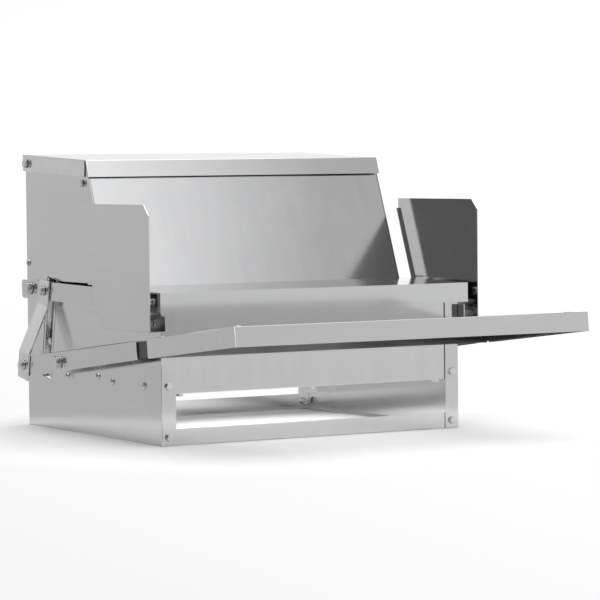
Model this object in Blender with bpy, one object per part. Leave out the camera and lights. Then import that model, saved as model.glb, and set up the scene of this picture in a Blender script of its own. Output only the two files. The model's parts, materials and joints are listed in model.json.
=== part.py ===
"""A treadle poultry feeder in folded sheet steel: hopper, trough lid, treadle, links and side wings.

Lengths below are in millimetres. Y is measured back from the front face of the body, Z up from
the ground and X to the right from the middle. The finished model is in metres, with its origin
under the middle of its bounding box.
"""

import math

import bmesh
import bpy
from mathutils import Matrix

MM = 0.001

# Sheet and clearances
SHEET = 1.2
ARM_SHEET = 1.5
LINK_SHEET = 1.8
GAP = 0.3
SEAM = 0.1
THROUGH = 1.0
ROUND = 14

# Body
BODY_WIDTH = 400.0
BODY_DEPTH = 356.0
HALF = BODY_WIDTH / 2
STILE = 18.0
BOTTOM_FLANGE = 14.0
REAR_FLANGE = 15.0
RAIL_HEIGHT = 18.8
WINDOW_TOP = 58.7
BODY_FRONT_TOP = 172.0
BACK_TOP = 324.0
REAR_FLANGE_TOP = 300.0
FOOT_INSET = 3.0
RAIL_FLANGE = 14.5
FRONT_SILL = 13.0
FRONT_FOLD = 11.0
FRONT_DROP = 1.5
BACK_SILL = 12.5
BACK_FOLD = (14.5, 188.0)
HINGE_NOTCH = (190.0, 20.0, 12.0)

# The slanted front of the hopper: a point on it, and how far it goes back for each mm up
SLANT_Y = 131.4
SLANT_Z = 179.2
SLANT = 0.391

# Hopper front sheet, its flanges, and the chute and trough below it
HOPPER_SHEET_Z = (104.0, 320.9)
HOPPER_TOP_FLANGE = 12.0
HOPPER_FLANGE = 16.0
HOPPER_FLANGE_Z = (184.0, 316.0)
CHUTE_FRONT = (118.0, 66.5)
CHUTE_REAR = (BODY_DEPTH - 4.4, 200.0)
CHUTE_UPSTAND = 16.0
CHUTE_FLANGE = 11.0
CHUTE_FLANGE_Y = (126.0, 250.0)
CHUTE_NOTCH_X = 186.0
CHUTE_NOTCH = ((253.0, 334.0), (100.0, 200.0))
TROUGH_Y = (3.0, 262.0)
TROUGH_SIDE = 14.0
TROUGH_FRONT = 16.0
TROUGH_REAR = 12.0
FLANGE_END = 180.0

# Roof
ROOF_FRONT = (184.2, 324.9)
ROOF_REAR = (360.5, 332.6)
ROOF_LIP_BOTTOM = (177.0, 305.0)
ROOF_FLANGE = 20.0
ROOF_HALF = HALF + GAP + SHEET
ROOF_PIVOT = (349.0, 322.0)
ROOF_CORNER_RADIUS = 7.0
ROOF_CLEARANCE = 1.1
ROOF_FLANGE_START = 3.4
ROOF_FLANGE_RAKE = 2.0

# Trough lid and its arms
LID_HALF = 206.8
LID_FRONT = (-12.4, 174.4)
LID_RISE = 0.015
LID_REAR_Y = 127.9
LID_FLANGE = 23.0
LID_HEM = 6.0
LID_BOLT_Y = (7.0, 106.0)
LID_ARM_RADIUS = 5.0
LID_ARM_DROP = (1.0, 0.4)
LID_ARM_REAR_Y = 353.7
LID_ARM_FRONT_Y = -9.0
LID_PIVOT = (329.0, 169.7)
LID_ARM_OUT = LID_HALF + GAP + SHEET

# Treadle
TREADLE_TILT = math.radians(6.39)
TREADLE_PIVOT = (206.0, 86.3)
TREADLE_HALF = 229.5
TREADLE_TOP = 12.3
TRAY_FRONT = -434.8
TRAY_REAR = -230.1
TRAY_FLANGE = 22.1
ARM_FRONT = -204.1
ARM_REAR = 110.0
ARM_HEIGHT_FRONT = 21.8
ARM_HEIGHT_REAR = 24.5
ARM_TOP_FLANGE = 8.0
RAIL_FRONT = -425.0
RAIL_REAR = -150.0
RAIL_CLEARANCE = 0.6
RAIL_WEB = 18.5
RAIL_FLANGE_WIDTH = 22.0
RAIL_FLANGE_STOP = 3.0
ARM_RADIUS = 6.0
TRAY_BOLT_X = 215.0
TRAY_BOLT_Y = (-416.0, -242.0)

# Links
LINK_LOW = (302.0, 77.6)
LINK_HIGH = (287.0, 168.0)
LINK_HALF_WIDTH = 14.0
LINK_BELOW = 17.0
LINK_ABOVE = 13.0
LINK_LOW_FOLD = 15.0
LINK_HIGH_FOLD = 73.5
LINK_PLAY = 2.3
LINK_LOW_GAP = 0.6
LINK_HIGH_GAP = 0.5

# Wings
WING_OUT = 221.3
WING_BOTTOM = 130.0
WING_TOP = 273.8
WING_FRONT = -13.3
WING_CHAMFER = 12.0
WING_LIP = 4.5
WING_LIP_START = 8.0
WING_FOOT = 18.0
WING_BOLT_Y = (18.5, 95.0)
WING_BOLT_Z = 139.0

# Guide channels behind the slots in the side panels
SLOT_LOW = (304.5, 61.0)
SLOT_HIGH = (283.5, 182.5)
SLOT_HALF = 14.5
SLOT_RADIUS = 4.0
CHANNEL_HALF = 13.3
CHANNEL_DEPTH = 5.0
CHANNEL_LIP = 4.0
CHANNEL_FLANGE = 8.0
SLIT = (186.0, 177.4, 179.4)
CHANNEL_BOLT_ALONG = 45.0
CHANNEL_END = 1.6

# Bolts: shank radius, hexagon radius over the corners, head height
M8 = (4.0, 7.5, 5.2)
M6 = (3.0, 5.8, 4.0)
M5 = (2.5, 4.6, 3.3)
WASHER = (1.2, 1.12)
SPACER_WALL = 3.0
BOLT_END = 1.0
HEX_TURN = 12.0

# The tray bolts' round heads, in two steps: radius, then bottom and top above the tray
BUTTON_STEPS = ((5.2, GAP, 1.1), (3.9, 0.8, 1.7))

# Looks: shade and roughness of sheets and of bolts
SHEET_LOOK = (0.62, 0.24)
BOLT_LOOK = (0.55, 0.3)
STILE_BOLT_X = 191.0
STILE_BOLT_Z = (68.0, 9.4)
HOPPER_BOLT = (196.0, 297.6)


def treadle_point(along, up):
    """A place on the tilted treadle, from its own axes to (y, z)."""
    cos, sin = math.cos(TREADLE_TILT), math.sin(TREADLE_TILT)
    return (TREADLE_PIVOT[0] + along * cos + up * sin, TREADLE_PIVOT[1] - along * sin + up * cos)


FRONT_REACH = treadle_point(TRAY_FRONT, TREADLE_TOP - TRAY_FLANGE)[0]
MIDDLE_Y = (FRONT_REACH + ROOF_REAR[0]) / 2


def slant_y(z):
    return SLANT_Y + SLANT * (z - SLANT_Z)


def lid_z(y):
    """Height of the lid's top face and of its arms' top edge."""
    return LID_FRONT[1] + LID_RISE * (y - LID_FRONT[0])


def slanted(low, high, deep):
    """An outline along the hopper's slant between two heights, reaching back by deep."""
    near, far = slant_y(low), slant_y(high)
    return [(near, low), (near + deep, low), (far + deep, high), (far, high)]


def band(front, rear, rise):
    """An outline between two (y, z) points, reaching up by rise."""
    return [front, rear, (rear[0], rear[1] + rise), (front[0], front[1] + rise)]


def roof_z(y):
    rise = (ROOF_REAR[1] - ROOF_FRONT[1]) / (ROOF_REAR[0] - ROOF_FRONT[0])
    return ROOF_FRONT[1] + rise * (y - ROOF_FRONT[0])


def clear_scene():
    for thing in list(bpy.data.objects):
        bpy.data.objects.remove(thing, do_unlink=True)


def steel(name, shade, roughness):
    """A zinc-grey metal of its own for each piece."""
    material = bpy.data.materials.new(name)
    material.use_nodes = True
    shader = material.node_tree.nodes["Principled BSDF"]
    shader.inputs["Base Color"].default_value = (shade, shade, shade * 0.985, 1.0)
    shader.inputs["Metallic"].default_value = 1.0
    shader.inputs["Roughness"].default_value = roughness
    return material


def arc(centre, radius, start, end, steps):
    """Points on a circle from start to end, in degrees."""
    angles = [math.radians(start + (end - start) * i / steps) for i in range(steps + 1)]
    return [(centre[0] + radius * math.cos(a), centre[1] + radius * math.sin(a)) for a in angles]


def box_outline(low, high):
    return [low, (high[0], low[1]), high, (low[0], high[1])]


def prism(axis, outline, low, high):
    """A closed helper object: an outline in the plane across an axis, swept from low to high."""
    place = {
        "X": lambda a, b, t: (t, a - MIDDLE_Y, b),
        "Y": lambda a, b, t: (a, t - MIDDLE_Y, b),
        "Z": lambda a, b, t: (a, b - MIDDLE_Y, t),
    }[axis]
    shape = bmesh.new()
    rings = []
    for level in (low, high):
        corners = [place(a, b, level) for a, b in outline]
        rings.append([shape.verts.new([value * MM for value in corner]) for corner in corners])
    shape.faces.new(rings[0])
    shape.faces.new(rings[1])
    for i in range(len(outline)):
        j = (i + 1) % len(outline)
        shape.faces.new((rings[0][i], rings[0][j], rings[1][j], rings[1][i]))
    bmesh.ops.recalc_face_normals(shape, faces=shape.faces)
    mesh = bpy.data.meshes.new("helper")
    shape.to_mesh(mesh)
    shape.free()
    helper = bpy.data.objects.new("helper", mesh)
    bpy.context.scene.collection.objects.link(helper)
    return helper


def box(x, y, z):
    return prism("Z", box_outline((x[0], y[0]), (x[1], y[1])), z[0], z[1])


def rod(axis, centre, radius, low, high, sides=ROUND, turn=0.0):
    outline = arc(centre, radius, turn, turn + 360.0, sides)[:-1]
    return prism(axis, outline, min(low, high), max(low, high))


def turn_about(pivot, angle):
    """The matrix that turns things about a line along X through pivot, a (y, z)."""
    at = (0.0, (pivot[0] - MIDDLE_Y) * MM, pivot[1] * MM)
    return Matrix.Translation(at) @ Matrix.Rotation(angle, 4, "X") @ Matrix.Translation([-v for v in at])


def combine(base, others, operation):
    for other in others:
        step = base.modifiers.new("step", "BOOLEAN")
        step.operation = operation
        step.object = other
        step.solver = "EXACT"


def solid(name, add, cut=(), pivot=None, turn=None, look=SHEET_LOOK):
    """One named piece: the union of some helpers, less some others, turned, riding on a pivot's empty."""
    base = add[0]
    combine(base, add[1:], "UNION")
    combine(base, cut, "DIFFERENCE")
    graph = bpy.context.evaluated_depsgraph_get()
    mesh = bpy.data.meshes.new_from_object(base.evaluated_get(graph))
    for helper in list(add) + list(cut):
        bpy.data.objects.remove(helper, do_unlink=True)
    mesh.name = name
    if turn:
        mesh.transform(turn)
    mesh.shade_smooth()
    mesh.set_sharp_from_angle(angle=math.radians(30.0))
    mesh.materials.clear()
    mesh.materials.append(steel(name, *look))
    piece = bpy.data.objects.new(name, mesh)
    bpy.context.scene.collection.objects.link(piece)
    if pivot:
        mesh.transform(pivot.matrix_world.inverted())
        piece.parent = pivot
    return piece


def axis_empty(name, point, side=0.0):
    """An empty on a hinge's line along X."""
    empty = bpy.data.objects.new(name, None)
    empty.location = (side * MM, (point[0] - MIDDLE_Y) * MM, point[1] * MM)
    bpy.context.scene.collection.objects.link(empty)
    bpy.context.view_layer.update()
    return empty


def bolt(name, axis, centre, size, head, nut, spacer=None, washer=True, pivot=None):
    """A bolt along an axis. head and nut are where their inner faces are, each pointing outwards."""
    shank, corners, height = size
    out = 1.0 if head > nut else -1.0
    pad = WASHER[0] if washer else 0.0
    parts = [rod(axis, centre, shank, head + out * height / 2, nut - out * (height + BOLT_END))]
    parts.append(rod(axis, centre, corners, head + out * (pad / 2), head + out * (height + pad), 6, HEX_TURN))
    if washer:
        parts.append(rod(axis, centre, corners * WASHER[1], head, head + out * pad))
    parts.append(rod(axis, centre, corners, nut, nut - out * height, 6, HEX_TURN))
    if spacer:
        parts.append(rod(axis, centre, shank + SPACER_WALL, spacer[0], spacer[1]))
    return solid(name, parts, pivot=pivot, look=BOLT_LOOK)


def hole(centre, radius, low, high, axis="X"):
    return rod(axis, centre, radius, low, high)


def span(side, near, far):
    """Low and high X of something on one side, given as distances out from the middle."""
    ends = sorted((side * near, side * far))
    return ends[0], ends[1]


def side_outline():
    """The upright sheet of a side panel, in (y, z)."""
    top_front = ROOF_FRONT[1] - SHEET - ROOF_CLEARANCE
    corner = arc(ROOF_PIVOT, ROOF_CORNER_RADIUS, 0.0, 90.0, 5)
    shoulder = BODY_FRONT_TOP + 2.0
    return (
        [(0.0, 0.0), (BODY_DEPTH, 0.0)]
        + corner
        + [(slant_y(top_front), top_front), (slant_y(shoulder), shoulder), (0.0, BODY_FRONT_TOP)]
    )


def slot_outline():
    """The leaning slot, with small round corners."""
    lean, length = slot_lean()
    half = SLOT_HALF
    radius = SLOT_RADIUS
    corners = (
        (half - radius, radius, -90.0),
        (half - radius, length - radius, 0.0),
        (radius - half, length - radius, 90.0),
        (radius - half, radius, 180.0),
    )
    outline = []
    for across, along, start in corners:
        for a, b in arc((across, along), radius, start, start + 90.0, 4):
            y = SLOT_LOW[0] + a * math.cos(lean) - b * math.sin(lean)
            z = SLOT_LOW[1] + a * math.sin(lean) + b * math.cos(lean)
            outline.append((y, z))
    return outline


def make_side_panel(side, name):
    inner = HALF - SHEET
    x = span(side, inner, HALF)
    stile = span(side, HALF - STILE, HALF)
    foot = span(side, HALF - BOTTOM_FLANGE, HALF)
    rear = span(side, HALF - REAR_FLANGE, HALF)
    add = [
        prism("X", side_outline(), *x),
        box(stile, (0.0, SHEET), (0.0, BODY_FRONT_TOP)),
        box(foot, (FOOT_INSET, BODY_DEPTH - FOOT_INSET), (0.0, SHEET)),
        box(rear, (BODY_DEPTH - SHEET, BODY_DEPTH), (0.0, REAR_FLANGE_TOP)),
    ]
    cutter = span(side, inner - 2.0, HALF + 2.0)
    holes = [(LID_PIVOT, M8), (TREADLE_PIVOT, M8), (ROOF_PIVOT, M6), (HOPPER_BOLT, M5)]
    holes += [((y, WING_BOLT_Z), M5) for y in WING_BOLT_Y]
    cut = [hole(centre, size[0] + GAP, *cutter) for centre, size in holes]
    cut.append(prism("X", slot_outline(), *cutter))
    cut.append(prism("X", box_outline(SLIT[:2], (SLOT_HIGH[0] + SLOT_RADIUS, SLIT[2])), *cutter))
    for z in STILE_BOLT_Z:
        centre = (side * STILE_BOLT_X, z)
        cut.append(hole(centre, M5[0] + GAP, -2.0, 2.0, "Y"))
        cut.append(hole(centre, M5[0] + GAP, BODY_DEPTH - 2.0, BODY_DEPTH + 2.0, "Y"))
    solid(name, add, cut)


def make_cross_sheet(name, y_out, inward, z, flanges, bolt_z, notched=False):
    """An upright sheet between the side panels, with flanges turned inward along its edges.

    notched cuts its top corners away, round the roof's hinge bolts.
    """
    wide = HALF - SHEET - GAP
    y = sorted((y_out, y_out + inward * SHEET))
    add = [box((-wide, wide), y, z)]
    for low, depth, half_width in flanges:
        reach = sorted((y_out, y_out + inward * depth))
        add.append(box((-half_width, half_width), reach, (low, low + SHEET)))
    cut = []
    for side in (-1, 1):
        cut.append(hole((side * STILE_BOLT_X, bolt_z), M5[0] + GAP, y[0] - THROUGH, y[1] + THROUGH, "Y"))
        if notched:
            start, reach, height = HINGE_NOTCH
            corner = (z[1] - height, z[1] + THROUGH)
            cut.append(box(span(side, start, HALF), (y[0] - reach, y[1] + reach), corner))
    solid(name, add, cut)


def make_body_sheets():
    behind = SHEET + GAP
    wide = HALF - SHEET - GAP
    between = HALF - BOTTOM_FLANGE - GAP
    rear = BODY_DEPTH - behind
    front_top = BODY_FRONT_TOP - FRONT_DROP
    front_flanges = [(WINDOW_TOP, FRONT_SILL, FLANGE_END), (front_top - SHEET, FRONT_FOLD, wide)]
    make_cross_sheet("front_panel", behind, 1, (WINDOW_TOP, front_top), front_flanges, STILE_BOLT_Z[0])
    rail = (0.0, RAIL_HEIGHT)
    make_cross_sheet("front_bottom_rail", behind, 1, rail, [(0.0, RAIL_FLANGE, between)], STILE_BOLT_Z[1])
    back_flanges = [(WINDOW_TOP, BACK_SILL, FLANGE_END), (BACK_TOP - SHEET, *BACK_FOLD)]
    back = (WINDOW_TOP, BACK_TOP)
    make_cross_sheet("back_panel", rear, -1, back, back_flanges, STILE_BOLT_Z[0], notched=True)
    make_cross_sheet("back_bottom_rail", rear, -1, rail, [(0.0, RAIL_FLANGE, between)], STILE_BOLT_Z[1])


def make_hopper_front():
    """The slanted front sheet, which runs down past the lid to leave a feed gap over the trough."""
    wide = HALF - SHEET - GAP - SEAM
    bottom, top = HOPPER_SHEET_Z
    back = SHEET * math.hypot(1.0, SLANT)
    add = [prism("X", slanted(bottom, top, back), -wide, wide)]
    fold = (slant_y(top) - GAP, slant_y(top) + HOPPER_TOP_FLANGE)
    add.append(box((-wide, wide), fold, (top - SHEET, top)))
    flange = slanted(*HOPPER_FLANGE_Z, HOPPER_FLANGE)
    cut = []
    for side in (-1, 1):
        add.append(prism("X", flange, *span(side, wide - SHEET, wide)))
        cut.append(hole(HOPPER_BOLT, M5[0] + GAP, *span(side, wide - SHEET - THROUGH, wide + THROUGH)))
    solid("hopper_front_panel", add, cut)


def make_trough():
    wide = HALF - SHEET - GAP - SEAM
    low = WINDOW_TOP + SHEET + GAP
    floor = (low, low + SHEET)
    front, rear = TROUGH_Y
    add = [box((-wide, wide), TROUGH_Y, floor)]
    for side in (-1, 1):
        add.append(box(span(side, wide - SHEET, wide), TROUGH_Y, (low, low + TROUGH_SIDE)))
    add.append(box((-FLANGE_END, FLANGE_END), (front, front + SHEET), (low, low + TROUGH_FRONT)))
    add.append(box((-wide, wide), (rear - SHEET, rear), (low, low + TROUGH_REAR)))
    solid("trough_floor", add)
    make_feed_chute(wide - SHEET - GAP - SEAM)


def make_feed_chute(wide):
    """The sloping hopper floor. Its edges are notched round the guide channels."""
    front, rear = CHUTE_FRONT, CHUTE_REAR
    slope = (rear[1] - front[1]) / (rear[0] - front[0])
    add = [prism("X", band(front, rear, SHEET * math.hypot(1.0, slope)), -wide, wide)]
    add.append(box((-wide, wide), (rear[0], rear[0] + SHEET), (rear[1], rear[1] + CHUTE_UPSTAND)))
    ends = [(y, front[1] + slope * (y - front[0])) for y in CHUTE_FLANGE_Y]
    cut = []
    for side in (-1, 1):
        add.append(prism("X", band(*ends, CHUTE_FLANGE), *span(side, wide - SHEET, wide)))
        cut.append(box(span(side, CHUTE_NOTCH_X, wide + THROUGH), *CHUTE_NOTCH))
    solid("feed_chute", add, cut)


def slot_lean():
    """How far the slots and their channels lean forward, as an angle and as their length."""
    back, up = SLOT_LOW[0] - SLOT_HIGH[0], SLOT_HIGH[1] - SLOT_LOW[1]
    return math.atan2(back, up), math.hypot(back, up)


def make_guide_channel(side, name):
    """A shallow lipped channel that fills the slot from inside, with flanges behind the side panel."""
    lean, length = slot_lean()
    floor, face = HALF - CHANNEL_DEPTH, HALF - SEAM
    flange = HALF - SHEET - GAP
    half = [
        (floor - SHEET, CHANNEL_HALF),
        (flange - SHEET, CHANNEL_HALF),
        (flange - SHEET, CHANNEL_HALF + CHANNEL_FLANGE),
        (flange, CHANNEL_HALF + CHANNEL_FLANGE),
        (flange, CHANNEL_HALF),
        (face, CHANNEL_HALF),
        (face, CHANNEL_HALF - CHANNEL_LIP),
        (face - SHEET, CHANNEL_HALF - CHANNEL_LIP),
        (face - SHEET, CHANNEL_HALF - SHEET),
        (floor, CHANNEL_HALF - SHEET),
    ]
    section = half + [(out, -across) for out, across in reversed(half)]
    outline = [(side * out, SLOT_LOW[0] + across) for out, across in section]
    channel = prism("Z", outline, SLOT_LOW[1] + CHANNEL_END, SLOT_LOW[1] + length - CHANNEL_END)
    along = SLOT_LOW[1] + CHANNEL_BOLT_ALONG
    cut = [hole((SLOT_LOW[0], along), M5[0] + GAP, *span(side, floor - SHEET - THROUGH, floor + THROUGH))]
    solid(name, [channel], cut, turn=turn_about(SLOT_LOW, lean))


def channel_bolt_centre():
    lean = slot_lean()[0]
    return (
        SLOT_LOW[0] - CHANNEL_BOLT_ALONG * math.sin(lean),
        SLOT_LOW[1] + CHANNEL_BOLT_ALONG * math.cos(lean),
    )


def make_wing(side, name):
    """A baffle plate beside the lid, on a foot turned under it and up against the side panel."""
    rear_low = slant_y(WING_BOTTOM)
    lip_top = WING_TOP - WING_CHAMFER
    plate = [
        (WING_FRONT, WING_BOTTOM),
        (rear_low, WING_BOTTOM),
        (slant_y(lip_top), lip_top),
        (slant_y(lip_top), WING_TOP),
        (WING_FRONT + WING_CHAMFER, WING_TOP),
        (WING_FRONT, WING_TOP - WING_CHAMFER),
    ]
    low = WING_BOTTOM + WING_LIP_START
    lip = slanted(low, lip_top, -SHEET * math.hypot(1.0, SLANT))
    inner = HALF + GAP
    add = [prism("X", plate, *span(side, WING_OUT - SHEET, WING_OUT))]
    add.append(prism("X", lip, *span(side, WING_OUT - WING_LIP, WING_OUT)))
    add.append(box(span(side, inner, WING_OUT), (WING_FRONT, rear_low), (WING_BOTTOM, WING_BOTTOM + SHEET)))
    foot = ((WING_FRONT, rear_low), (WING_BOTTOM, WING_BOTTOM + WING_FOOT))
    add.append(box(span(side, inner, inner + SHEET), *foot))
    cutter = span(side, inner - THROUGH, inner + SHEET + THROUGH)
    cut = [hole((y, WING_BOLT_Z), M5[0] + GAP, *cutter) for y in WING_BOLT_Y]
    solid(name, add, cut)


def make_roof(pivot):
    """The rain lid: a sloping top with a front lip that follows the hopper, and side flanges."""
    lip_back = SHEET * math.hypot(1.0, SLANT)
    inner_front = (ROOF_FRONT[0] + lip_back, roof_z(ROOF_FRONT[0] + lip_back) - SHEET)
    profile = [
        ROOF_REAR,
        ROOF_FRONT,
        ROOF_LIP_BOTTOM,
        (ROOF_LIP_BOTTOM[0] + lip_back, ROOF_LIP_BOTTOM[1]),
        inner_front,
        (ROOF_REAR[0], ROOF_REAR[1] - SHEET),
    ]
    flange_front = ROOF_FRONT[0] + ROOF_FLANGE_START
    flange = [
        (flange_front, roof_z(flange_front) - SHEET / 2),
        (flange_front + ROOF_FLANGE_RAKE, roof_z(flange_front) - ROOF_FLANGE),
        (ROOF_REAR[0], ROOF_REAR[1] - ROOF_FLANGE),
        (ROOF_REAR[0], ROOF_REAR[1] - SHEET / 2),
    ]
    add = [prism("X", profile, -ROOF_HALF, ROOF_HALF)]
    cut = []
    for side in (-1, 1):
        add.append(prism("X", flange, *span(side, ROOF_HALF - SHEET, ROOF_HALF)))
        cutter = span(side, ROOF_HALF - SHEET - THROUGH, ROOF_HALF + THROUGH)
        cut.append(hole(ROOF_PIVOT, M6[0] + GAP, *cutter))
    solid("roof_lid", add, cut, pivot)


def make_trough_lid(pivot):
    front_y, front_z = LID_FRONT
    rear_z = lid_z(LID_REAR_Y)
    top = band((front_y, front_z - SHEET), (LID_REAR_Y, rear_z - SHEET), SHEET)
    bottom = front_z - LID_FLANGE
    add = [prism("X", top, -LID_HALF, LID_HALF)]
    add.append(box((-LID_HALF, LID_HALF), (front_y, front_y + SHEET), (bottom, front_z - SHEET / 2)))
    hem_half = LID_HALF - 2 * SHEET
    add.append(box((-hem_half, hem_half), (front_y, front_y + LID_HEM), (bottom, bottom + SHEET)))
    flange = [
        (front_y, bottom),
        (LID_REAR_Y, rear_z - LID_FLANGE),
        (LID_REAR_Y, rear_z - SHEET / 2),
        (front_y, front_z - SHEET / 2),
    ]
    cut = []
    for side in (-1, 1):
        add.append(prism("X", flange, *span(side, LID_HALF - SHEET, LID_HALF)))
        cutter = span(side, LID_HALF - SHEET - THROUGH, LID_HALF + THROUGH)
        for centre in lid_bolt_centres():
            cut.append(hole(centre, M5[0] + GAP, *cutter))
    solid("trough_lid", add, cut, pivot)


def lid_bolt_centres():
    return [(y, lid_z(y) - LID_FLANGE / 2) for y in LID_BOLT_Y]


def make_lid_arm(side, name, pivot):
    """A long strap outside the lid's side flange, running back to the lid's pivot."""
    top_rear, low_rear = lid_z(LID_ARM_REAR_Y), lid_z(LID_ARM_REAR_Y) - LID_FLANGE
    radius = LID_ARM_RADIUS
    top_front = lid_z(LID_ARM_FRONT_Y)
    outline = [(LID_ARM_FRONT_Y, top_front - LID_ARM_DROP[0]), (LID_ARM_FRONT_Y, top_front - LID_FLANGE)]
    outline += arc((LID_ARM_REAR_Y - radius, low_rear + radius), radius, -90.0, 0.0, 4)
    outline += arc((LID_ARM_REAR_Y - radius, top_rear - radius - LID_ARM_DROP[1]), radius, 0.0, 90.0, 4)
    x = span(side, LID_ARM_OUT - SHEET, LID_ARM_OUT)
    cutter = span(side, LID_ARM_OUT - SHEET - THROUGH, LID_ARM_OUT + THROUGH)
    cut = [hole(LID_PIVOT, M8[0] + GAP, *cutter), hole(LINK_HIGH, M6[0] + GAP, *cutter)]
    cut += [hole(centre, M5[0] + GAP, *cutter) for centre in lid_bolt_centres()]
    solid(name, [prism("X", outline, *x)], cut, pivot)


def level(y, z):
    """A point of the untilted treadle, as (y, z) beside its pivot."""
    return (TREADLE_PIVOT[0] + y, TREADLE_PIVOT[1] + z)


def treadle_tilt():
    return turn_about(TREADLE_PIVOT, -TREADLE_TILT)


def before_tilt(point):
    """Where a (y, z) of the finished treadle lies before it is tilted."""
    cos, sin = math.cos(TREADLE_TILT), math.sin(TREADLE_TILT)
    back, up = point[0] - TREADLE_PIVOT[0], point[1] - TREADLE_PIVOT[1]
    return level(back * cos - up * sin, back * sin + up * cos)


def make_tray(pivot):
    """The pan that the birds step on: a flat top with four flanges turned down."""
    y = (TREADLE_PIVOT[0] + TRAY_FRONT, TREADLE_PIVOT[0] + TRAY_REAR)
    top = TREADLE_PIVOT[1] + TREADLE_TOP
    z = (top - TRAY_FLANGE, top)
    wide = (-TREADLE_HALF, TREADLE_HALF)
    rear_half = TREADLE_HALF - 2 * (ARM_SHEET + GAP)
    add = [
        box(wide, y, (top - SHEET, top)),
        box(wide, (y[0], y[0] + SHEET), z),
        box((-rear_half, rear_half), (y[1] - SHEET, y[1]), z),
    ]
    cut = []
    for side in (-1, 1):
        add.append(box(span(side, TREADLE_HALF - SHEET, TREADLE_HALF), y, z))
        for along in TRAY_BOLT_Y:
            centre = (side * TRAY_BOLT_X, TREADLE_PIVOT[0] + along)
            cut.append(hole(centre, M5[0] + GAP, top - SHEET - THROUGH, top + THROUGH, "Z"))
    solid("treadle_tray", add, cut, pivot, treadle_tilt())


def make_treadle_arm(side, name, pivot):
    radius = ARM_RADIUS
    rear_low = TREADLE_TOP - ARM_HEIGHT_REAR
    outline = [level(ARM_FRONT, TREADLE_TOP), level(ARM_FRONT, TREADLE_TOP - ARM_HEIGHT_FRONT)]
    outline += arc(level(ARM_REAR - radius, rear_low + radius), radius, -90.0, 0.0, 4)
    outline += arc(level(ARM_REAR - radius, TREADLE_TOP - radius), radius, 0.0, 90.0, 4)
    add = [prism("X", outline, *span(side, TREADLE_HALF - ARM_SHEET, TREADLE_HALF))]
    flange_y = (TREADLE_PIVOT[0] + ARM_FRONT, TREADLE_PIVOT[0] + ARM_REAR - radius)
    top = TREADLE_PIVOT[1] + TREADLE_TOP
    flange_x = span(side, TREADLE_HALF - ARM_TOP_FLANGE, TREADLE_HALF)
    add.append(box(flange_x, flange_y, (top - SHEET, top)))
    cutter = span(side, TREADLE_HALF - ARM_SHEET - THROUGH, TREADLE_HALF + THROUGH)
    cut = [hole(TREADLE_PIVOT, M8[0] + GAP, *cutter)]
    cut.append(hole(before_tilt(LINK_LOW), M6[0] + GAP, *cutter))
    solid(name, add, cut, pivot, treadle_tilt())


def make_treadle_rail(side, name, pivot):
    """The angle that joins an arm to the tray, inside both of them."""
    out = TREADLE_HALF - ARM_SHEET - GAP
    top = TREADLE_PIVOT[1] + TREADLE_TOP - SHEET - RAIL_CLEARANCE
    y = (TREADLE_PIVOT[0] + RAIL_FRONT, TREADLE_PIVOT[0] + RAIL_REAR)
    under_tray = (y[0], TREADLE_PIVOT[0] + TRAY_REAR - RAIL_FLANGE_STOP)
    add = [box(span(side, out - ARM_SHEET, out), y, (top - RAIL_WEB, top))]
    add.append(box(span(side, out - RAIL_FLANGE_WIDTH, out), under_tray, (top - SHEET, top)))
    cut = []
    for along in TRAY_BOLT_Y:
        centre = (side * TRAY_BOLT_X, TREADLE_PIVOT[0] + along)
        cut.append(hole(centre, M5[0] + GAP, top - SHEET - THROUGH, top + THROUGH, "Z"))
    solid(name, add, cut, pivot, treadle_tilt())


def make_tray_bolt(side, along, name, pivot):
    """A low round head on top of the tray, with its nut under the rail's flange."""
    centre = (side * TRAY_BOLT_X, TREADLE_PIVOT[0] + along)
    top = TREADLE_PIVOT[1] + TREADLE_TOP
    under = top - 2 * SHEET - RAIL_CLEARANCE - GAP
    shank, corners, height = M5
    add = [rod("Z", centre, shank, under - height - BOLT_END, top + THROUGH)]
    for radius, low, high in BUTTON_STEPS:
        add.append(rod("Z", centre, radius, top + low, top + high))
    add.append(rod("Z", centre, corners, under - height, under, 6))
    solid(name, add, (), pivot, treadle_tilt(), BOLT_LOOK)


def make_link(side, name, pivot):
    """A Z-bent strap from outside the treadle's arm to outside the lid's arm."""
    lean = math.atan2(LINK_LOW[0] - LINK_HIGH[0], LINK_HIGH[1] - LINK_LOW[1])
    length = math.hypot(LINK_HIGH[0] - LINK_LOW[0], LINK_HIGH[1] - LINK_LOW[1])
    low_in = TREADLE_HALF + LINK_LOW_GAP
    high_in = LID_ARM_OUT + LINK_HIGH_GAP
    z = LINK_LOW[1]
    inside = [(low_in, z - LINK_BELOW), (low_in, z + LINK_LOW_FOLD)]
    inside += [(high_in, z + LINK_HIGH_FOLD), (high_in, z + length + LINK_ABOVE)]
    slope = math.atan2(low_in - high_in, LINK_HIGH_FOLD - LINK_LOW_FOLD)
    shift = LINK_SHEET * math.tan(slope / 2)
    outside = [(x + LINK_SHEET, fold) for x, fold in inside]
    outside[1] = (outside[1][0], outside[1][1] + shift)
    outside[2] = (outside[2][0], outside[2][1] + shift)
    outline = [(side * x, fold) for x, fold in inside + outside[::-1]]
    strap = prism("Y", outline, LINK_LOW[0] - LINK_HALF_WIDTH, LINK_LOW[0] + LINK_HALF_WIDTH)
    low_x = span(side, low_in - THROUGH, low_in + LINK_SHEET + THROUGH)
    high_x = span(side, high_in - THROUGH, high_in + LINK_SHEET + THROUGH)
    cut = [
        hole((LINK_LOW[0], z), M6[0] + GAP, *low_x),
        hole((LINK_LOW[0], z + length), M6[0] + LINK_PLAY, *high_x),
    ]
    solid(name, [strap], cut, pivot, turn_about(LINK_LOW, lean))


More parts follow.
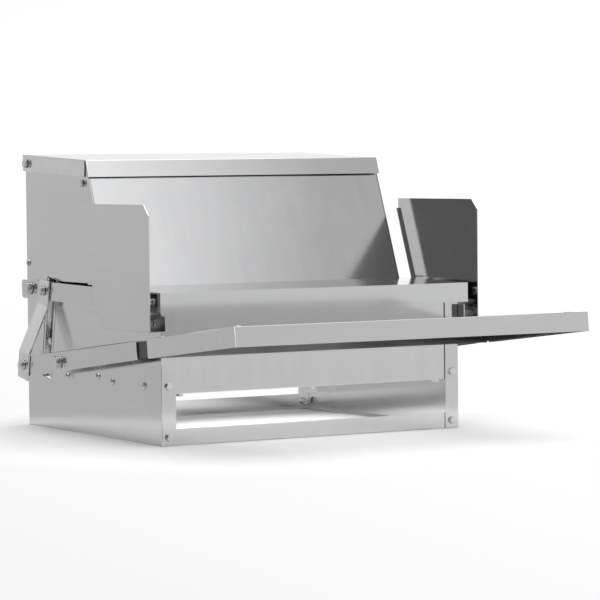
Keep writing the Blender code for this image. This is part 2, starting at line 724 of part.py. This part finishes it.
def make_side_fixings(side, word, lid_axis, treadle_axis):
    """Every bolt on one side of the feeder."""
    inner = side * (HALF - SHEET - GAP)
    face = side * (HALF + GAP)
    lid_in = side * (LID_ARM_OUT - SHEET - GAP)
    lid_out = side * (LID_ARM_OUT + GAP)
    arm_in = side * (TREADLE_HALF - ARM_SHEET - GAP)
    arm_out = side * (TREADLE_HALF + GAP)
    bolt(f"lid_pivot_bolt_{word}", "X", LID_PIVOT, M8, lid_out, inner, (lid_in, face))
    bolt(f"treadle_pivot_bolt_{word}", "X", TREADLE_PIVOT, M8, arm_out, inner, (arm_in, face))
    roof_out = side * (ROOF_HALF + GAP)
    bolt(f"roof_hinge_bolt_{word}", "X", ROOF_PIVOT, M6, roof_out, inner, washer=False)
    hopper_in = inner - side * (SHEET + GAP + SEAM)
    bolt(f"hopper_bolt_{word}", "X", HOPPER_BOLT, M5, face, hopper_in, washer=False)
    floor = side * (HALF - CHANNEL_DEPTH)
    channel_in = floor - side * (SHEET + GAP)
    bolt(f"channel_bolt_{word}", "X", channel_bolt_centre(), M5, floor + side * GAP, channel_in, washer=False)
    foot_out = side * (HALF + 2 * GAP + SHEET)
    for y, end in zip(WING_BOLT_Y, ("front", "rear")):
        bolt(f"wing_bolt_{word}_{end}", "X", (y, WING_BOLT_Z), M5, foot_out, inner, washer=False)
    for z, end in zip(STILE_BOLT_Z, ("top", "bottom")):
        centre = (side * STILE_BOLT_X, z)
        bolt(f"front_bolt_{word}_{end}", "Y", centre, M5, -GAP, 2 * (SHEET + GAP), washer=False)
        rear_nut = BODY_DEPTH - 2 * (SHEET + GAP)
        bolt(f"back_bolt_{word}_{end}", "Y", centre, M5, BODY_DEPTH + GAP, rear_nut, washer=False)
    lid_nut = side * (LID_HALF - SHEET - GAP)
    for centre, end in zip(lid_bolt_centres(), ("front", "rear")):
        bolt(f"lid_bolt_{word}_{end}", "X", centre, M5, lid_out, lid_nut, washer=False, pivot=lid_axis)
    high_out = side * (LID_ARM_OUT + 2 * LINK_HIGH_GAP + LINK_SHEET)
    bolt(f"link_upper_bolt_{word}", "X", LINK_HIGH, M6, high_out, lid_in, pivot=lid_axis)
    low_out = side * (TREADLE_HALF + LINK_LOW_GAP + LINK_SHEET + GAP)
    bolt(f"link_lower_bolt_{word}", "X", LINK_LOW, M6, low_out, arm_in, pivot=treadle_axis)
    for along, end in zip(TRAY_BOLT_Y, ("front", "rear")):
        make_tray_bolt(side, along, f"tray_bolt_{word}_{end}", treadle_axis)


def main():
    clear_scene()
    roof_axis = axis_empty("roof_axis", ROOF_PIVOT)
    lid_axis = axis_empty("lid_axis", LID_PIVOT)
    treadle_axis = axis_empty("treadle_axis", TREADLE_PIVOT)
    make_body_sheets()
    make_hopper_front()
    make_trough()
    make_roof(roof_axis)
    make_trough_lid(lid_axis)
    make_tray(treadle_axis)
    for side, word in ((-1, "left"), (1, "right")):
        make_side_panel(side, f"side_panel_{word}")
        make_guide_channel(side, f"guide_channel_{word}")
        make_wing(side, f"wing_{word}")
        make_lid_arm(side, f"lid_arm_{word}", lid_axis)
        make_treadle_arm(side, f"treadle_arm_{word}", treadle_axis)
        make_treadle_rail(side, f"treadle_rail_{word}", treadle_axis)
        link_axis = axis_empty(f"link_axis_{word}", LINK_LOW, side * TREADLE_HALF)
        make_link(side, f"link_{word}", link_axis)
        make_side_fixings(side, word, lid_axis, treadle_axis)


main()
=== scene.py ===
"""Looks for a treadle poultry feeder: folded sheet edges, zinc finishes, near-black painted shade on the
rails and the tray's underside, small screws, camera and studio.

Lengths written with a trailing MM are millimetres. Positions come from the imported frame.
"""

import json
import math

import bmesh
import bpy
from mathutils import Matrix, Vector


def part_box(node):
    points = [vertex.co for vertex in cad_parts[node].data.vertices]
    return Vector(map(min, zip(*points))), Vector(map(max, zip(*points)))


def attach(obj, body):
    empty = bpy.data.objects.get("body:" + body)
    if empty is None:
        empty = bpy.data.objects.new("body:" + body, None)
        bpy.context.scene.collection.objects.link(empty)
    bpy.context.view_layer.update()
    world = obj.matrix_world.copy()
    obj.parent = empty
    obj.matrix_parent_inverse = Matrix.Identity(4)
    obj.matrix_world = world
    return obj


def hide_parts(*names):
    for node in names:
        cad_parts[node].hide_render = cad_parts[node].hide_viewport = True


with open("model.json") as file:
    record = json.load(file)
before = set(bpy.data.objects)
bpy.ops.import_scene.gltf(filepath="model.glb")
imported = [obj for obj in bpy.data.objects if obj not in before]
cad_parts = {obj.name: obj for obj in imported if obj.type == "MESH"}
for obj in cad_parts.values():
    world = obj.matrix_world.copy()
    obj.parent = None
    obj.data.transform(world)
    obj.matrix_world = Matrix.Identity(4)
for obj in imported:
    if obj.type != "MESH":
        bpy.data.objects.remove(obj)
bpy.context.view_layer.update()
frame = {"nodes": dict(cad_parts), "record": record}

MM = 0.001
SIDES = (("left", -1.0), ("right", 1.0))

# Rounding of the sheet's edges
FOLD_RADIUS = 0.9 * MM
CUT_RADIUS = 0.2 * MM
BOLT_RADIUS = 0.45 * MM
FOLD_WIDTH = 2.4 * MM
SMOOTH_WIDTH = 0.65 * MM
EDGE_ANGLE = math.radians(24.0)
FLAT_ANGLE = math.radians(0.6)
WELD = 0.004 * MM

# Camera
EYE = Vector((-1.7208, -2.9971, 0.320))
LENS = 175.5
SENSOR = 36.0
AZIMUTH = math.radians(30.16)
PITCH = math.radians(2.70)
ROLL = math.radians(0.60)

# Studio air: how bright it is, and how that leans along X, Y and Z
AIR_LEVEL = 0.73
AIR_LEAN = (0.43, 0.145, -0.85)
AIR_LEAST = 0.15

# Panels of light seen in the hopper's slanted front: their right edges along X, and where they hang
GLOW_EDGES = (0.78, 0.90, 1.02, 1.14, 1.26, 2.0)
GLOW_STEP = 0.04
GLOW_SIZE = (1.6, 0.9)
GLOW_PLACE = (-1.39, 1.46)
GLOW_TARGET = (0.08, 0.25)
GLOW_POWER = 0.62

# One panel seen in the links' slanted faces
LINK_GLOW_PLACE = (-1.06, 1.96, 0.75)
LINK_GLOW_TARGET = (-0.23, 0.23, 0.13)
LINK_GLOW_SIZE = (0.7, 0.5)
LINK_GLOW_POWER = 0.42

# Panels just under the trough floor and the tray: width, drop below the node, power
BASE_FILL = (0.34, 2.0 * MM, 0.32)
TRAY_FILL = (0.42, 4.0 * MM, 0.26)

SUN_POWER = 2.6
SUN_ANGLE = math.radians(80.0)

# The floor is a disc that fades out between two distances from its middle
FLOOR_RADIUS = 0.5
FLOOR_FADE = (0.36, 0.49)
FLOOR_DROP = 0.0002

# Noise scales of the zinc finish: across the rolling marks and along them, then the patches
GRAIN = (900.0, 9.0)
BROAD = (70.0, 2.5)
CRYSTAL = 150.0
HANDLING = 14.0
WAVES = 5.0


def body_of(node):
    for body, members in frame["record"]["behaviour"]["bodies"].items():
        if node in members:
            return body
    raise ValueError(node)


# ---------------------------------------------------------------- materials


class Shader:
    """A small helper that adds nodes to one material and links them."""

    def __init__(self, name):
        self.material = bpy.data.materials.new(name)
        self.material.use_nodes = True
        self.tree = self.material.node_tree
        self.surface = self.tree.nodes["Principled BSDF"]
        self.place = self.tree.nodes.new("ShaderNodeTexCoord").outputs["Object"]

    def node(self, kind, **settings):
        made = self.tree.nodes.new(kind)
        for key, value in settings.items():
            setattr(made, key, value)
        return made

    def link(self, source, target):
        self.tree.links.new(source, target)

    def stretched(self, scale):
        mapping = self.node("ShaderNodeMapping")
        mapping.inputs["Scale"].default_value = scale
        self.link(self.place, mapping.inputs["Vector"])
        return mapping.outputs["Vector"]

    def noise(self, scale, detail=3.0, roughness=0.5):
        made = self.node("ShaderNodeTexNoise")
        made.inputs["Scale"].default_value = 1.0
        made.inputs["Detail"].default_value = detail
        made.inputs["Roughness"].default_value = roughness
        self.link(self.stretched(scale), made.inputs["Vector"])
        return made.outputs["Fac"]

    def spread(self, source, low, high):
        """source's middle range mapped to low..high."""
        made = self.node("ShaderNodeMapRange")
        made.inputs["From Min"].default_value = 0.3
        made.inputs["From Max"].default_value = 0.7
        made.inputs["To Min"].default_value = low
        made.inputs["To Max"].default_value = high
        self.link(source, made.inputs["Value"])
        return made.outputs["Result"]

    def tint(self, factor, dark, light):
        ramp = self.node("ShaderNodeValToRGB")
        ramp.color_ramp.elements[0].color = (*dark, 1.0)
        ramp.color_ramp.elements[1].color = (*light, 1.0)
        self.link(factor, ramp.inputs["Fac"])
        self.link(ramp.outputs["Color"], self.surface.inputs["Base Color"])

    def total(self, first, second):
        made = self.node("ShaderNodeMath", operation="ADD")
        self.link(first, made.inputs[0])
        self.link(second, made.inputs[1])
        return made.outputs[0]

    def bump(self, height, depth, strength):
        made = self.node("ShaderNodeBump")
        made.inputs["Strength"].default_value = strength
        made.inputs["Distance"].default_value = depth
        self.link(height, made.inputs["Height"])
        self.link(made.outputs["Normal"], self.surface.inputs["Normal"])


def along_grain(grain, across, along):
    """A noise scale that is stretched along one axis."""
    return tuple(along if axis == grain else across for axis in "XYZ")


def zinc(name, grey, blue, rough, grain, wave=0.5):
    """Smooth zinc-coated sheet: rolling grain along one axis, soft crystal patches, faint waves.

    grain is the axis the rolling marks run along; grey the mean reflectance; blue a cool shift.
    """
    shader = Shader(name)
    shader.surface.inputs["Metallic"].default_value = 1.0
    streak = shader.noise(along_grain(grain, *GRAIN), 2.0)
    band = shader.noise(along_grain(grain, *BROAD), 3.0)
    crystal = shader.node("ShaderNodeTexVoronoi")
    crystal.inputs["Scale"].default_value = 1.0
    crystal.inputs["Randomness"].default_value = 0.9
    shader.link(shader.stretched((CRYSTAL,) * 3), crystal.inputs["Vector"])
    split = shader.node("ShaderNodeSeparateColor")
    shader.link(crystal.outputs["Color"], split.inputs["Color"])
    patch = split.outputs["Red"]
    handling = shader.noise((HANDLING,) * 3, 2.0)

    shade = shader.total(shader.spread(band, 0.0, 0.45), shader.spread(handling, 0.0, 0.35))
    shade = shader.total(shade, shader.spread(patch, 0.0, 0.10))
    dark = (grey * 0.955, grey * 0.962, grey * 0.962 + blue)
    light = (grey * 1.03, grey * 1.035, min(1.0, grey * 1.03 + blue))
    shader.tint(shade, dark, light)

    polish = shader.spread(streak, rough - 0.015, rough + 0.01)
    gloss = shader.total(polish, shader.spread(handling, 0.0, 0.03))
    shader.link(gloss, shader.surface.inputs["Roughness"])

    slow = shader.spread(shader.noise((WAVES,) * 3, 1.0), 0.0, wave)
    shader.bump(slow, 0.0006, 0.5)
    return shader.material


def plated(name, grey, rough):
    """Bright plated steel for screws and nuts, with light turning marks and a little dulling."""
    shader = Shader(name)
    shader.surface.inputs["Metallic"].default_value = 1.0
    worn = shader.noise((420.0, 420.0, 420.0), 4.0, 0.6)
    dulled = shader.noise((90.0, 90.0, 90.0), 2.0)
    low, high = (grey * 0.86, grey * 0.87, grey * 0.88), (grey * 1.04, grey * 1.05, grey * 1.06)
    shader.tint(shader.spread(dulled, 0.1, 0.9), low, high)
    shader.link(shader.spread(worn, rough - 0.05, rough + 0.08), shader.surface.inputs["Roughness"])
    shader.bump(worn, 0.00004, 0.3)
    return shader.material


MATERIALS = {
    "upright": zinc("zinc_upright", 0.66, 0.0, 0.12, "Z"),
    "side": zinc("zinc_side", 0.65, -0.004, 0.11, "Y"),
    "hopper": zinc("zinc_hopper", 0.72, 0.012, 0.13, "Z", 0.3),
    "roof": zinc("zinc_roof", 0.72, 0.0, 0.13, "X"),
    "lid": zinc("zinc_lid", 0.68, 0.004, 0.10, "X", 0.3),
    "pan": zinc("zinc_pan", 0.67, 0.0, 0.12, "X"),
    "arm": zinc("zinc_arm", 0.63, -0.004, 0.14, "Y"),
    "strap": zinc("zinc_strap", 0.74, 0.0, 0.22, "Z"),
    # The rails are near-black: painted shade, standing in for the dark shade and reflections along them,
    # not their own colour
    "rail": zinc("rail_painted_shade", 0.10, 0.0, 0.34, "Y"),
    # The tray's downward faces are near-black: painted shade under the tray
    "under": zinc("underside_painted_shade", 0.13, 0.0, 0.30, "X"),
    "bolt": plated("plated_bolt", 0.70, 0.26),
}

# The first prefix that fits gives a node its finish; the rails get a near-black painted shade instead
FINISH_OR_PAINTED_SHADE_BY_PREFIX = (
    ("hopper_front", "hopper"),
    ("feed_chute", "hopper"),
    ("front_", "upright"),
    ("back_", "upright"),
    ("roof", "roof"),
    ("trough_lid", "lid"),
    ("trough_floor", "lid"),
    ("treadle_tray", "pan"),
    ("treadle_rail", "rail"),
    ("treadle_", "arm"),
    ("lid_arm", "arm"),
    ("link_", "strap"),
    ("side_", "side"),
    ("wing_", "side"),
    ("guide_", "side"),
)


def finish_or_painted_shade_of(node):
    if "_bolt_" in node:
        return MATERIALS["bolt"]
    for prefix, key in FINISH_OR_PAINTED_SHADE_BY_PREFIX:
        if node.startswith(prefix):
            return MATERIALS[key]
    raise ValueError(node)


# ---------------------------------------------------------------- sheets and bolts


def face_width(face):
    """How wide a face is across its narrow way, near enough."""
    rim = sum(edge.calc_length() for edge in face.edges)
    return 2.0 * face.calc_area() / rim if rim else 0.0


def sharp_edges(shape):
    found = []
    for edge in shape.edges:
        if len(edge.link_faces) == 2 and edge.calc_face_angle(0.0) > EDGE_ANGLE:
            found.append(edge)
    return found


def round_edges(shape, edges, radius, segments):
    if edges:
        bmesh.ops.bevel(
            shape, geom=edges, offset=radius, offset_type="OFFSET", segments=segments,
            profile=0.5, affect="EDGES", clamp_overlap=True, harden_normals=False,
        )


def softened(node, kind):
    """A copy of a CAD node with rounded folds and eased edges. It stands for the node."""
    source = frame["nodes"][node]
    shape = bmesh.new()
    shape.from_mesh(source.data)
    bmesh.ops.remove_doubles(shape, verts=shape.verts, dist=WELD)
    bmesh.ops.dissolve_limit(
        shape, angle_limit=FLAT_ANGLE, verts=shape.verts, edges=shape.edges, use_dissolve_boundaries=False
    )
    if kind == "sheet":
        folds = [
            edge for edge in sharp_edges(shape)
            if edge.is_convex and min(face_width(face) for face in edge.link_faces) > FOLD_WIDTH
        ]
        round_edges(shape, folds, FOLD_RADIUS, 3)
        rest = [edge for edge in sharp_edges(shape) if edge.is_convex]
        round_edges(shape, rest, CUT_RADIUS, 1)
    else:
        round_edges(shape, [edge for edge in sharp_edges(shape) if edge.is_convex], BOLT_RADIUS, 2)
    bmesh.ops.recalc_face_normals(shape, faces=shape.faces)
    for face in shape.faces:
        face.smooth = face_width(face) < SMOOTH_WIDTH
    mesh = bpy.data.meshes.new(f"{node}_{kind}")
    shape.to_mesh(mesh)
    shape.free()
    if kind == "screw":
        mesh.shade_smooth()
        mesh.set_sharp_from_angle(angle=math.radians(30.0))
    piece = add_piece(f"{node}_{kind}", mesh, body_of(node), finish_or_painted_shade_of(node), (node,))
    # The tray's downward faces take a near-black material: painted shade under the tray, not its own
    # colour
    if node == "treadle_tray":
        mesh.materials.append(MATERIALS["under"])
        for face in mesh.polygons:
            face.material_index = int(face.normal.z < -0.5)
    return piece


def add_piece(name, mesh, body, material, replaced=()):
    mesh.materials.clear()
    mesh.materials.append(material)
    piece = bpy.data.objects.new(name, mesh)
    bpy.context.scene.collection.objects.link(piece)
    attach(piece, body)
    if replaced:
        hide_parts(*replaced)
    return piece


for node in sorted(frame["nodes"]):
    softened(node, "screw" if "_bolt_" in node else "sheet")


# ---------------------------------------------------------------- small screws that CAD leaves out


def lathe(profile, sides=20):
    """A closed turned shape about +Z from (radius, height) points, bottom to top."""
    shape = bmesh.new()
    rings = []
    for radius, height in profile:
        if radius == 0.0:
            rings.append([shape.verts.new((0.0, 0.0, height))] * sides)
            continue
        ring = []
        for i in range(sides):
            a = 2.0 * math.pi * i / sides
            ring.append(shape.verts.new((radius * math.cos(a), radius * math.sin(a), height)))
        rings.append(ring)
    for low, high in zip(rings, rings[1:]):
        for i in range(sides):
            j = (i + 1) % sides
            corners = []
            for corner in (low[i], low[j], high[j], high[i]):
                if corner not in corners:
                    corners.append(corner)
            shape.faces.new(corners)
    bmesh.ops.recalc_face_normals(shape, faces=shape.faces)
    return shape


def dome_profile(radius, height, steps=6):
    """A low round screw head that stands on z = 0, with a shallow drive recess."""
    points = [(0.0, 0.0), (radius, 0.0), (radius, height * 0.22)]
    for i in range(1, steps):
        a = math.radians(90.0 * i / steps)
        points.append((radius * math.cos(a * 0.78), height * (0.22 + 0.78 * math.sin(a))))
    recess = radius * 0.34
    points += [(recess, height), (recess * 0.9, height * 0.62), (0.0, height * 0.55)]
    return points


def screw_head(name, place, direction, radius, height, body):
    shape = lathe([(r * MM, z * MM) for r, z in dome_profile(radius, height)])
    turn = Vector(direction).to_track_quat("Z", "Y").to_matrix().to_4x4()
    mesh = bpy.data.meshes.new(name)
    shape.transform(Matrix.Translation(place) @ turn)
    shape.to_mesh(mesh)
    shape.free()
    mesh.shade_smooth()
    mesh.set_sharp_from_angle(angle=math.radians(38.0))
    return add_piece(name, mesh, body, MATERIALS["bolt"])


HOUSING = "housing"
SIDE_LOW, SIDE_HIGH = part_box("side_panel_right")
FRONT_Y = SIDE_LOW[1]
PANEL_X = SIDE_HIGH[0]

# Along the side from the body's front face, and up from the ground: the screws of the trough floor
TROUGH_SCREWS = ((43.0, 66.5), (124.0, 66.5), (162.0, 70.5), (245.0, 66.5))
REAR_SCREW = (350.5, 200.0)
SCREW_RADIUS = 3.9
SCREW_HEIGHT = 2.2
PROUD = 0.05 * MM

# Nuts under the window's top edge: across from the middle, and back from the body's front face
SILL_NUTS = (-173.0, 0.0, 173.0)
SILL_BACK = 8.0
NUT_RADIUS = 4.6 * MM
NUT_HEIGHT = 3.3 * MM
NUT_GAP = 0.02 * MM


def add_side_screws():
    for word, side in SIDES:
        for number, (back, up) in enumerate(TROUGH_SCREWS + (REAR_SCREW,), 1):
            place = (side * (PANEL_X + PROUD), FRONT_Y + back * MM, up * MM)
            name = f"side_screw_{word}_{number}"
            screw_head(name, place, (side, 0.0, 0.0), SCREW_RADIUS, SCREW_HEIGHT, HOUSING)


def add_sill_nuts():
    """Nuts that hang under the fold along the window's top edge, holding the trough's floor."""
    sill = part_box("front_panel")[0][2]
    for number, across in enumerate(SILL_NUTS, 1):
        profile = [(0.0, 0.0), (NUT_RADIUS, 0.0), (NUT_RADIUS, NUT_HEIGHT), (0.0, NUT_HEIGHT)]
        shape = lathe(profile, 6)
        name = f"sill_nut_{number}"
        mesh = bpy.data.meshes.new(name)
        place = (across * MM, FRONT_Y + SILL_BACK * MM, sill - NUT_HEIGHT - NUT_GAP)
        shape.transform(Matrix.Translation(place))
        shape.to_mesh(mesh)
        shape.free()
        add_piece(name, mesh, HOUSING, MATERIALS["bolt"])


add_side_screws()
add_sill_nuts()


# ---------------------------------------------------------------- camera


def add_camera():
    forward = Vector(
        (math.sin(AZIMUTH) * math.cos(PITCH), math.cos(AZIMUTH) * math.cos(PITCH), -math.sin(PITCH))
    )
    right = Vector((math.cos(AZIMUTH), -math.sin(AZIMUTH), 0.0))
    down = forward.cross(right)
    rolled_right = math.cos(ROLL) * right + math.sin(ROLL) * down
    rolled_down = math.cos(ROLL) * down - math.sin(ROLL) * right
    turn = Matrix((rolled_right, -rolled_down, -forward)).transposed().to_4x4()
    data = bpy.data.cameras.new("camera")
    data.lens = LENS
    data.sensor_width = SENSOR
    data.clip_start = 0.05
    data.clip_end = 50.0
    camera = bpy.data.objects.new("camera", data)
    camera.matrix_world = Matrix.Translation(EYE) @ turn
    bpy.context.scene.collection.objects.link(camera)
    bpy.context.scene.camera = camera


add_camera()


# ---------------------------------------------------------------- studio


def add_floor():
    shape = bmesh.new()
    bmesh.ops.create_circle(shape, cap_ends=True, segments=96, radius=FLOOR_RADIUS)
    mesh = bpy.data.meshes.new("studio_floor")
    shape.to_mesh(mesh)
    shape.free()
    floor = bpy.data.objects.new("studio_floor", mesh)
    floor.location = (0.0, 0.0, -FLOOR_DROP)
    bpy.context.scene.collection.objects.link(floor)
    shader = Shader("pale_floor")
    shader.surface.inputs["Specular IOR Level"].default_value = 0.0
    shader.tint(shader.noise((1.5, 1.5, 1.5)), (0.90, 0.90, 0.90), (0.93, 0.93, 0.93))
    shader.surface.inputs["Roughness"].default_value = 1.0
    reach = shader.node("ShaderNodeVectorMath", operation="LENGTH")
    shader.link(shader.place, reach.inputs[0])
    fade = shader.node("ShaderNodeMapRange", interpolation_type="SMOOTHSTEP")
    fade.inputs["From Min"].default_value, fade.inputs["From Max"].default_value = FLOOR_FADE
    fade.inputs["To Min"].default_value = 1.0
    fade.inputs["To Max"].default_value = 0.0
    shader.link(reach.outputs["Value"], fade.inputs["Value"])
    shader.link(fade.outputs["Result"], shader.surface.inputs["Alpha"])
    mesh.materials.append(shader.material)


def add_panel(name, place, target, size, power):
    data = bpy.data.lights.new(name, "AREA")
    data.shape = "RECTANGLE"
    data.size, data.size_y = size
    data.energy = power
    panel = bpy.data.objects.new(name, data)
    aim = (Vector(target) - Vector(place)).to_track_quat("-Z", "Y")
    panel.matrix_world = Matrix.Translation(place) @ aim.to_matrix().to_4x4()
    bpy.context.scene.collection.objects.link(panel)


def add_world():
    """Soft surroundings: white behind the feeder and to its right, greyer to the left and above."""
    world = bpy.data.worlds.new("studio_air")
    bpy.context.scene.world = world
    world.use_nodes = True
    nodes, links = world.node_tree.nodes, world.node_tree.links
    way = nodes.new("ShaderNodeTexCoord")
    lean = nodes.new("ShaderNodeVectorMath")
    lean.operation = "DOT_PRODUCT"
    lean.inputs[1].default_value = AIR_LEAN
    level = nodes.new("ShaderNodeMath")
    level.operation = "ADD"
    level.inputs[1].default_value = AIR_LEVEL
    split = nodes.new("ShaderNodeSeparateXYZ")
    height = nodes.new("ShaderNodeMath")
    height.operation = "ABSOLUTE"
    joined = nodes.new("ShaderNodeCombineXYZ")
    links.new(way.outputs["Generated"], split.inputs["Vector"])
    links.new(split.outputs["X"], joined.inputs["X"])
    links.new(split.outputs["Y"], joined.inputs["Y"])
    links.new(split.outputs["Z"], height.inputs[0])
    links.new(height.outputs[0], joined.inputs["Z"])
    links.new(joined.outputs["Vector"], lean.inputs[0])
    links.new(lean.outputs["Value"], level.inputs[0])
    floor = nodes.new("ShaderNodeMath")
    floor.operation = "MAXIMUM"
    floor.inputs[1].default_value = AIR_LEAST
    links.new(level.outputs[0], floor.inputs[0])
    background = nodes["Background"]
    background.inputs["Color"].default_value = (1.0, 1.0, 1.0, 1.0)
    links.new(floor.outputs[0], background.inputs["Strength"])


def add_fill(name, node, fill):
    """A panel under a node, facing down."""
    width, drop, power = fill
    low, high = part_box(node)
    middle = (0.0, (low[1] + high[1]) / 2, low[2] - drop)
    add_panel(name, middle, (0.0, middle[1], 0.0), (width, high[1] - low[1]), power)


def add_lights():
    sun = bpy.data.lights.new("overhead", "SUN")
    sun.energy = SUN_POWER
    sun.angle = SUN_ANGLE
    lamp = bpy.data.objects.new("overhead", sun)
    bpy.context.scene.collection.objects.link(lamp)
    for number, edge in enumerate(GLOW_EDGES, 1):
        x = edge - GLOW_SIZE[0] / 2
        middle = (x, GLOW_PLACE[0], GLOW_PLACE[1] + number * GLOW_STEP)
        add_panel(f"hopper_glow_{number}", middle, (x, *GLOW_TARGET), GLOW_SIZE, GLOW_POWER)
    add_panel("link_glow", LINK_GLOW_PLACE, LINK_GLOW_TARGET, LINK_GLOW_SIZE, LINK_GLOW_POWER)
    add_fill("base_fill", "trough_floor", BASE_FILL)
    add_fill("tray_fill", "treadle_tray", TRAY_FILL)


add_floor()
add_world()
add_lights()
bpy.context.scene.view_settings.view_transform = "Standard"
